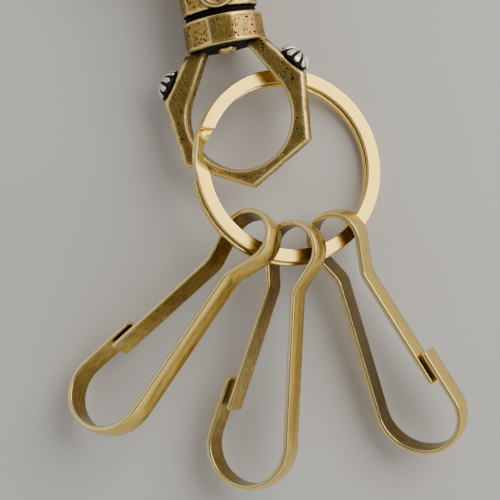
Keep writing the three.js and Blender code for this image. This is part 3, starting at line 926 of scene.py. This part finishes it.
def swivel_pin_piece():
    seat = -COLLAR_LENGTH / 2 - 0.1
    head = domed_head(PIN_HEAD_RADIUS, PIN_HEAD_HEIGHT, seat)
    top = seat + 11
    profile = head + [(PIN_RADIUS, seat), (PIN_RADIUS, top), (0.02, top)]
    mesh = turned(profile, 48)
    return cast("swivel_pin_peened", mesh, SWIVEL_FRAME, 0.09, 17, CAST_PIN, 2, 0.09)


def washer_piece():
    middle = COLLAR_LENGTH / 2 + SWIVEL_GAP / 2
    half = WASHER_THICKNESS / 2
    bore = PIN_RADIUS + 0.1
    bevel = 0.12
    below = ((bore, -half), (WASHER_RADIUS - bevel, -half), (WASHER_RADIUS, -half + bevel))
    rings = []
    for radius, height in below + tuple((radius, -height) for radius, height in reversed(below)):
        ring = []
        for i in range(64):
            angle = 2 * math.pi * i / 64
            ring.append((radius * math.sin(angle), middle + height, radius * math.cos(angle)))
        rings.append(ring)
    mesh = loft(rings, closed=True)
    mesh.transform(to_part(SWIVEL_FRAME))
    return link("swivel_washer_black", mesh, BLACK_AND_GAP_SHADE, smooth=False)


def stud_frame(side):
    """Local frame of a stud: +Y out of the shackle's flank."""
    shoulder_x, shoulder_y = SHACKLE_SHOULDER
    rise = SHACKLE_APEX - shoulder_y
    outward = math.atan2(shoulder_x, rise)
    x = shoulder_x * (SHACKLE_APEX - STUD_Y) / rise
    turn = Matrix.Rotation(-side * (math.pi / 2 - outward), 4, "Z")
    return SHACKLE_FRAME @ Matrix.Translation((side * x, STUD_Y, 0)) @ turn


def stud_piece(name, side):
    """A dome of petal-shaped ribs over deep grooves, on a dark band; a groove faces the front."""
    sides = STUD_RIBS * 16
    levels = 34
    band = 0.3
    rings = []
    groove = []
    for j in range(levels + 1):
        rise = j / levels
        up = rise * math.pi / 2
        # Each rib is round at its foot and runs to a point near the pole.
        half = 0.68 - 0.68 * (1 - smooth_between(rise, 0.0, 0.16)) ** 2
        half *= 1 - 0.45 * smooth_between(rise, 0.82, 0.97)
        ring = []
        for i in range(sides):
            angle = 2 * math.pi * i / sides
            crest = abs(math.sin(angle * STUD_RIBS / 2))
            across = math.acos(min(1.0, crest)) / (math.pi / 2)
            deep = smooth_between(across, half - 0.14, half + 0.06)
            inward = (0.42 if rise < 0.9 else 0.42 * (1 - rise) / 0.1) * deep
            reach = max(0.0, STUD_RADIUS * math.cos(up) - inward * math.cos(up)) + 0.015
            height = band + (STUD_HEIGHT - band) * math.sin(up) - inward * math.sin(up) * 0.6
            ring.append((reach * math.sin(angle), height, reach * math.cos(angle)))
            groove.append(deep)
        rings.append(ring)
    foot = [(x * 0.97, 0.02, z * 0.97) for x, _, z in rings[0]]
    rings.insert(0, foot)
    groove = [1.0] * sides + groove
    mesh = loft(rings)
    write_values(mesh, "groove", groove)
    mesh.transform(to_part(stud_frame(side)))
    return link(name, mesh, STUD)


# ---- swept wire and strip ----

def rounded_section(width, thickness, corner, crowns=(0.0, 0.0), steps=4, across=7):
    """Closed section with round corners and its two broad sides, +y and -y, crowned."""
    points = []
    for quadrant in range(4):
        cx = (width / 2 - corner) * (1 if quadrant in (0, 3) else -1)
        cy = (thickness / 2 - corner) * (1 if quadrant in (0, 1) else -1)
        for i in range(steps + 1):
            angle = (quadrant + i / steps) * math.pi / 2
            points.append((cx + corner * math.cos(angle), cy + corner * math.sin(angle)))
        if quadrant in (0, 2):
            start, end = points[-1], (-points[-1][0], points[-1][1])
            for i in range(1, across):
                share = i / across
                bulge = 4 * share * (1 - share) * (crowns[0] if quadrant == 0 else -crowns[1])
                points.append((start[0] + (end[0] - start[0]) * share, start[1] + bulge))
    return points


def sweep(stations, section, matrix, name, material, first=0.0, last=0.0, cut=0.0):
    """Sweeps a section along stations of (point, x axis, y axis, distance).

    The two ends are rounded by the first and last radius, and the first end is cut aslant by an
    angle in degrees.
    """
    reach_x = max(abs(x) for x, _ in section)
    reach_y = max(abs(y) for _, y in section)
    rings = []
    runs = []

    def add(station, inset=0.0, shift=0.0, way=None):
        point, x_axis, y_axis, distance = station
        slant = math.tan(cut * DEG) * math.exp(-distance)
        if way is None:
            way = (stations[1][0] - stations[0][0]).normalized()
        ring = []
        for x, y in section:
            wide = x * (1 - inset / reach_x)
            thick = y * (1 - inset / reach_y)
            along = way * (shift - wide * slant)
            ring.append(point + x_axis * wide + y_axis * thick + along)
            runs.append((distance, x, y))
        rings.append(ring)

    steps = 4
    turns = [i / steps * math.pi / 2 for i in range(steps)]
    if first:
        for turn in turns:
            add(stations[0], first * (1 - math.sin(turn)), first * (1 - math.cos(turn)))
    else:
        add(stations[0])
    for station in stations[1:-1]:
        if station[3] > first:
            add(station)
    way = (stations[-2][0] - stations[-1][0]).normalized()
    if last:
        for turn in reversed(turns):
            add(stations[-1], last * (1 - math.sin(turn)), last * (1 - math.cos(turn)), way)
    else:
        add(stations[-1], 0.0, 0.0, way)
    mesh = loft(rings)
    mesh.name = name
    size = len(section)
    FLUSH_ENDS[mesh.name] = (size, not first, not last)
    # A flush end keeps its sides' shading up to its rim.
    low = size if not first else 0
    high = len(runs) - size if not last else len(runs)
    for edge in mesh.edges:
        a, b = edge.vertices
        edge.use_edge_sharp = (a < low and b < low) or (a >= high and b >= high)
    write_vectors(mesh, "run", runs)
    # The two narrow edges and the corners beside them are rubbed bright.
    worn = [smooth_between(abs(across), reach_x - 0.30, reach_x - 0.10) for _, across, _ in runs]
    write_values(mesh, "wear", worn)
    mesh.transform(to_part(matrix))
    return link(name, mesh, material)


def ring_piece():
    """The split ring: two turns of flat wire, cranked and twisted between its levels."""
    radius = RING_RADIUS - RING_WIDTH / 2
    level = (RING_THICKNESS + RING_SLIT) / 2
    sweep_angle = 720 - RING_CROSSING
    count = 560
    up = Vector((0, 0, 1))
    stations = []
    for i in range(count + 1):
        passed = sweep_angle * i / count
        crossed = min(1, max(0, (passed - (360 - RING_CROSSING)) / RING_CROSSING))
        lowered = crossed * crossed * (3 - 2 * crossed)
        angle = (RING_END - passed) * DEG
        out = Vector((math.cos(angle), math.sin(angle), 0))
        point = out * (radius + RING_SWELL * math.sin(math.pi * crossed))
        point += Vector((*RING_LOWER_SHIFT, 0)) * lowered + up * (level * (1 - 2 * lowered))
        twist = RING_TWIST * DEG * math.sin(math.pi * crossed ** RING_TWIST_SKEW)
        x_axis = out * math.cos(twist) + up * math.sin(twist)
        y_axis = up * math.cos(twist) - out * math.sin(twist)
        stations.append((point, x_axis, y_axis, passed * DEG * radius))
    section = rounded_section(RING_WIDTH, RING_THICKNESS, 0.15, (0.02, 0.02))
    turn = up.rotation_difference(RING_NORMAL).to_matrix().to_4x4()
    matrix = Matrix.Translation(RING_CENTRE) @ turn
    return sweep(stations, section, matrix, "split_ring_wire", RING_BRASS, 0.07, 0.07, RING_CUT)


def touch_angle(centre, radius, point, side):
    """Angle on a circle at which a line from an outside point touches it."""
    reach = Vector(point) - Vector(centre)
    angle = math.atan2(reach.y, reach.x) + side * math.acos(radius / reach.length)
    return angle % (2 * math.pi)


def on_circle(centre, radius, angle):
    return Vector((centre[0] + radius * math.cos(angle), centre[1] + radius * math.sin(angle)))


def arc_between(centre, radius, start, end, spacing=0.25):
    count = max(2, int(abs(end - start) * radius / spacing))
    return [on_circle(centre, radius, start + (end - start) * i / count) for i in range(count + 1)]


def fillet(a, b, c, radius):
    to_a = (Vector(a) - Vector(b)).normalized()
    to_c = (Vector(c) - Vector(b)).normalized()
    half = math.acos(to_a.dot(to_c)) / 2
    centre = Vector(b) + (to_a + to_c).normalized() * (radius / math.sin(half))
    start = Vector(b) + to_a * (radius / math.tan(half)) - centre
    end = Vector(b) + to_c * (radius / math.tan(half)) - centre
    first = math.atan2(start.y, start.x)
    turn = (math.atan2(end.y, end.x) - first + math.pi) % (2 * math.pi) - math.pi
    return arc_between(centre, radius, first, first + turn)


def straight(a, b, spacing=0.5):
    count = max(1, int((Vector(b) - Vector(a)).length / spacing))
    return [Vector(a).lerp(Vector(b), i / count) for i in range(1, count)]


def hook_lines(hook):
    """Centre lines of the hook's rigid part, nose to gate neck, and of its gate arm."""
    nose_centre, nose_radius = hook["nose_bend"]
    long_radius = hook["long_radius"]
    toe = hook["toe"] * DEG
    long_centre = on_circle(nose_centre, nose_radius - long_radius, toe)
    gate_way = (Vector(hook["gate_end"]) - Vector(GATE_NECK)).normalized()
    nose_normal = math.atan2(-gate_way.x, gate_way.y)
    nose_foot = on_circle(nose_centre, nose_radius, nose_normal)
    nose_tip = nose_foot - gate_way * hook["nose_length"]
    long_angle = touch_angle(long_centre, long_radius, LONG_NECK, -1)
    long_foot = on_circle(long_centre, long_radius, long_angle)
    eye_long = touch_angle((0, 0), EYE_RADIUS, LONG_NECK, 1)
    eye_gate = touch_angle((0, 0), EYE_RADIUS, GATE_NECK, -1)
    long_fillet = fillet(long_foot, LONG_NECK, on_circle((0, 0), EYE_RADIUS, eye_long), NECK_RADIUS)
    gate_fillet = fillet(on_circle((0, 0), EYE_RADIUS, eye_gate), GATE_NECK, hook["gate_end"], NECK_RADIUS)
    body = [nose_tip] + straight(nose_tip, nose_foot)
    body += arc_between(nose_centre, nose_radius, nose_normal, toe)
    body += arc_between(long_centre, long_radius, toe, long_angle)
    body += straight(long_foot, long_fillet[0]) + long_fillet
    body += straight(long_fillet[-1], on_circle((0, 0), EYE_RADIUS, eye_long))
    body += arc_between((0, 0), EYE_RADIUS, eye_long, eye_gate)
    body += straight(on_circle((0, 0), EYE_RADIUS, eye_gate), gate_fillet[0]) + gate_fillet
    gate = [gate_fillet[-1]] + straight(gate_fillet[-1], hook["gate_end"]) + [Vector(hook["gate_end"])]
    return tidy_line(body), tidy_line(gate)


def tidy_line(points):
    """The line without points that nearly coincide."""
    kept = [points[0]]
    for point in points[1:]:
        if (point - kept[-1]).length > 0.02:
            kept.append(point)
    return kept


def hook_frame(hook):
    heading, roll, pitch = (hook[key] * DEG for key in ("heading", "roll", "pitch"))
    along = Vector((
        math.cos(heading) * math.cos(pitch), math.sin(heading) * math.cos(pitch), -math.sin(pitch),
    ))
    level = Vector((-math.sin(heading), math.cos(heading), 0))
    across = level * math.cos(roll) + along.cross(level) * math.sin(roll)
    basis = Matrix((along, across, along.cross(across))).transposed().to_4x4()
    return Matrix.Translation(Vector(hook["eye"])) @ basis


def strip_stations(line, side):
    """Stations of a strip that stands on edge on its centre line."""
    stations = []
    distance = 0.0
    for i, point in enumerate(line):
        ahead = line[min(i + 1, len(line) - 1)]
        behind = line[max(i - 1, 0)]
        way = (ahead - behind).normalized()
        if i:
            distance += (point - line[i - 1]).length
        place = Vector((point.x, point.y * side, 0))
        normal = Vector((-way.y, way.x * side, 0))
        stations.append((place, Vector((0, 0, 1)), normal, distance))
    return stations


def mark_low_side_shade(mesh, length):
    """Writes a strip's painted shade: 1 on its lower edge and inner face, less on its upper outer face."""
    run = mesh.attributes["run"].data
    values = []
    for item in run:
        distance, across, through = item.vector
        # Painted shade: the outer face darkens towards its lower edge, the inner face most towards the
        # middle of the strip.
        outer = smooth_between(-through, -0.1, 0.3)
        down = 1 - smooth_between(across, -1.9, 0.9)
        to_end = abs(distance / length - 0.5) * 2
        inner_shade = 1.24 - 0.62 * to_end ** 2
        values.append(outer * down * 0.72 + (1 - outer) * inner_shade)
    write_values(mesh, "low_side_shade", values)


def hook_pieces(name, hook):
    """The bent strip and its gate arm; they meet flush at the gate's root."""
    body_line, gate_line = hook_lines(hook)
    section = rounded_section(STRIP_WIDTH, STRIP_THICKNESS - 0.1, 0.22, (0.03, 0.19))
    matrix = hook_frame(hook)
    side = hook["side"]
    stations = strip_stations(body_line + gate_line[1:], side)
    root = len(body_line) - 1
    body = sweep(stations[:root + 1], section, matrix, f"hook_{name}_strip", STRIP_BRASS, 0.1)
    arm = sweep(stations[root:], section, matrix, f"hook_{name}_gate_arm", STRIP_BRASS, 0.0, 0.1)
    length = stations[-1][3]
    for piece in (body, arm):
        mark_low_side_shade(piece.data, length)
    bent = gate_line[0].lerp(gate_line[-1], 0.25)
    start = to_part(matrix) @ Vector((gate_line[0].x, gate_line[0].y * side, 0))
    end = to_part(matrix) @ Vector((bent.x, bent.y * side, 0))
    return body, arm, start, end


def spring_piece():
    """Torsion spring round the gate pin: two turns, a leg down the slot and a leg up to the gate."""
    wire, radius, turns, leg, pitch, low = 0.4, 1.55, 2, 2.7, 0.46, 0.45
    path = [Vector((radius, -leg + leg * i / 8, 0)) for i in range(8)]
    steps = 96
    for i in range(steps + 1):
        angle = turns * 2 * math.pi * i / steps
        path.append(Vector((radius * math.cos(angle), radius * math.sin(angle), turns * pitch * i / steps)))
    path += [Vector((radius, leg * i / 8, turns * pitch)) for i in range(1, 9)]
    stations = []
    distance = 0.0
    for i, point in enumerate(path):
        tangent = (path[min(i + 1, len(path) - 1)] - path[max(i - 1, 0)]).normalized()
        side = tangent.cross(Vector((0, 0, 1))).normalized()
        if i:
            distance += (point - path[i - 1]).length
        stations.append((point, side, side.cross(tangent), distance))
    angles = [2 * math.pi * i / 12 for i in range(12)]
    section = [(wire / 2 * math.cos(a), wire / 2 * math.sin(a)) for a in angles]
    place = Matrix.Translation((WALL_X, LOOP_LOW, low))
    matrix = SWIVEL_FRAME @ place
    spring = sweep(stations, section, matrix, "gate_spring_wire", STEEL, 0.04, 0.04)
    # The foot of the turns, by the lower leg, and their head, by the upper leg.
    foot = to_part(matrix) @ Vector((0, 0, wire / 2))
    head = to_part(matrix) @ Vector((0, 0, turns * pitch - wire / 2))
    return spring, foot, head


# ---- painted shade: how shut in each point is ----

def spread_directions(count):
    """Directions spread evenly over a sphere."""
    directions = []
    for i in range(count):
        z = 1 - (2 * i + 1) / count
        reach = math.sqrt(1 - z * z)
        angle = i * math.pi * (3 - math.sqrt(5))
        directions.append(Vector((reach * math.cos(angle), reach * math.sin(angle), z)))
    return directions


def mark_crevice_shade(pieces, reach=2.4, rays=26, rounds=6, flank=0.0):
    """Writes, for each point, the share of directions shut in by metal close by: painted shade in crevices
    and gaps, standing partly for the dark patina of hollows.

    Points that face sideways get more of it, by flank: painted shade on the sides.
    """
    vertices = []
    polygons = []
    for piece in pieces:
        start = len(vertices)
        vertices += [v.co.copy() for v in piece.data.vertices]
        polygons += [[start + i for i in polygon.vertices] for polygon in piece.data.polygons]
    tree = BVHTree.FromPolygons(vertices, polygons)
    directions = spread_directions(rays)
    limit = reach * MM
    for piece in pieces:
        skin = Skin(piece.data)
        normals = skin.normals()
        values = []
        for point, normal in zip(skin.points, normals):
            normal = Vector(normal)
            origin = Vector(point) + normal * (0.03 * MM)
            shut = 0.0
            total = 0.0
            for direction in directions:
                facing = direction.dot(normal)
                if facing <= 0.05:
                    continue
                total += facing
                distance = tree.ray_cast(origin, direction, limit)[3]
                if distance is not None:
                    shut += facing * (1 - distance / limit) ** 0.5
            # Painted shade on sideways-facing points, added by flank.
            side = 1 - smooth_between(abs(normal.z), 0.18, 0.62)
            values.append(shut / total + flank * side)
        shade = skin.smoothed(np.array(values), rounds)
        write_values(piece.data, "crevice_shade", heal_ends(piece.data, shade))


# ---- build, ride and replace ----

def settle(piece, body, slot, *nodes):
    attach(piece, body)
    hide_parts(*nodes)


shackle_cast = shackle_piece()
frame_cast = frame_piece()
swivel_pin = swivel_pin_piece()
washer = washer_piece()
stud_left = stud_piece("stud_left_ribbed", -1)
stud_right = stud_piece("stud_right_ribbed", 1)
gate_cast = gate_piece()
gate_pin = gate_pin_piece()
ring_wire = ring_piece()
hooks = {hook_name: hook_pieces(hook_name, hook) for hook_name, hook in HOOKS.items()}

castings = [shackle_cast, frame_cast, swivel_pin, washer, stud_left, stud_right, gate_cast, gate_pin]
# Painted shade in crevices and gaps, and on the castings' sides too.
mark_crevice_shade(castings, flank=0.34)
mark_crevice_shade([ring_wire] + [piece for parts in hooks.values() for piece in parts[:2]], 4.0)

settle(shackle_cast, "shackle", "antique_brass", "shackle_collar")
settle(frame_cast, "carabiner", "antique_brass", "carabiner_frame")
settle(gate_cast, "gate", "antique_brass", "carabiner_gate")
settle(gate_pin, "carabiner", "pin_brass", "gate_pin")
settle(swivel_pin, "carabiner", "pin_brass", "swivel_pin")
settle(washer, "carabiner", "blackened_washer", "swivel_washer")
spring, spring_foot, spring_head = spring_piece()
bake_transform(spring)
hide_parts("gate_spring")
settle(stud_left, "shackle", "silvered_stud", "stud_left")
settle(stud_right, "shackle", "silvered_stud", "stud_right")
settle(ring_wire, "ring", "satin_ring_brass", "split_ring")
for hook_name, (strip, arm, root, tip) in hooks.items():
    settle(strip, f"hook_{hook_name}", "satin_strip_brass", f"hook_{hook_name}_body")
    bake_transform(arm)
    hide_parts(f"hook_{hook_name}_gate")


# ---- floor, light and camera ----

def area_light(name, place, target, size, power, tint=(1, 1, 1)):
    data = bpy.data.lights.new(name, "AREA")
    data.shape = "RECTANGLE"
    data.size, data.size_y = size[0] * MM, size[1] * MM
    data.energy = power
    data.color = tint
    obj = bpy.data.objects.new(name, data)
    bpy.context.collection.objects.link(obj)
    obj.location = (Vector(place) + OFFSET) * MM
    aim = Vector(target) - Vector(place)
    obj.rotation_mode = "QUATERNION"
    obj.rotation_quaternion = aim.to_track_quat("-Z", "Y")
    return obj


def make_stage():
    corners = [(x * FLOOR_SPAN, y * FLOOR_SPAN, 0) for x, y in ((-1, -1), (1, -1), (1, 1), (-1, 1))]
    mesh = mesh_from("floor", corners, [(0, 1, 2, 3)])
    floor = link("floor", mesh, pale_floor("pale_floor"), smooth=False)
    floor.location.z = -FLOOR_GAP


def sky_range(tree, source, given, wanted):
    """A node that maps the source from the given range to the wanted one."""
    node = tree.nodes.new("ShaderNodeMapRange")
    tree.links.new(source, node.inputs["Value"])
    node.inputs["From Min"].default_value, node.inputs["From Max"].default_value = given
    node.inputs["To Min"].default_value, node.inputs["To Max"].default_value = wanted
    return node


def make_light():
    """A soft room: dim overhead, brighter towards its sides, and a large window to the right."""
    world = bpy.data.worlds.new("studio")
    bpy.context.scene.world = world
    world.use_nodes = True
    tree = world.node_tree
    background = tree.nodes["Background"]
    coordinates = tree.nodes.new("ShaderNodeTexCoord")
    split = tree.nodes.new("ShaderNodeSeparateXYZ")
    tree.links.new(coordinates.outputs["Generated"], split.inputs["Vector"])
    height = sky_range(tree, split.outputs["Z"], (0.30, 0.93), (0.90, 0.13))
    height.interpolation_type = "SMOOTHSTEP"
    side = sky_range(tree, split.outputs["X"], (-1.0, 1.0), (0.62, 1.3))
    product = tree.nodes.new("ShaderNodeMath")
    product.operation = "MULTIPLY"
    tree.links.new(height.outputs["Result"], product.inputs[0])
    tree.links.new(side.outputs["Result"], product.inputs[1])
    tree.links.new(product.outputs["Value"], background.inputs["Strength"])
    background.inputs["Color"].default_value = (1.0, 0.985, 0.96, 1)
    area_light("key", (220, 150, 250), (0, 0, 0), (330, 270), 0.9, (1, 0.96, 0.90))
    area_light("fill", (-300, 60, 190), (0, 0, 0), (160, 240), 0.06, (0.95, 0.97, 1))


def make_camera():
    """Straight above the design's origin, framing a square patch of the surface."""
    data = bpy.data.cameras.new("camera")
    data.sensor_width = SENSOR_WIDTH
    data.lens = SENSOR_WIDTH * CAMERA_HEIGHT / VIEW_WIDTH
    camera = bpy.data.objects.new("camera", data)
    bpy.context.collection.objects.link(camera)
    camera.location = (Vector((0, 0, CAMERA_HEIGHT)) + OFFSET) * MM
    bpy.context.scene.camera = camera
    data.clip_start, data.clip_end = 0.01, 10


make_stage()
make_light()
make_camera()
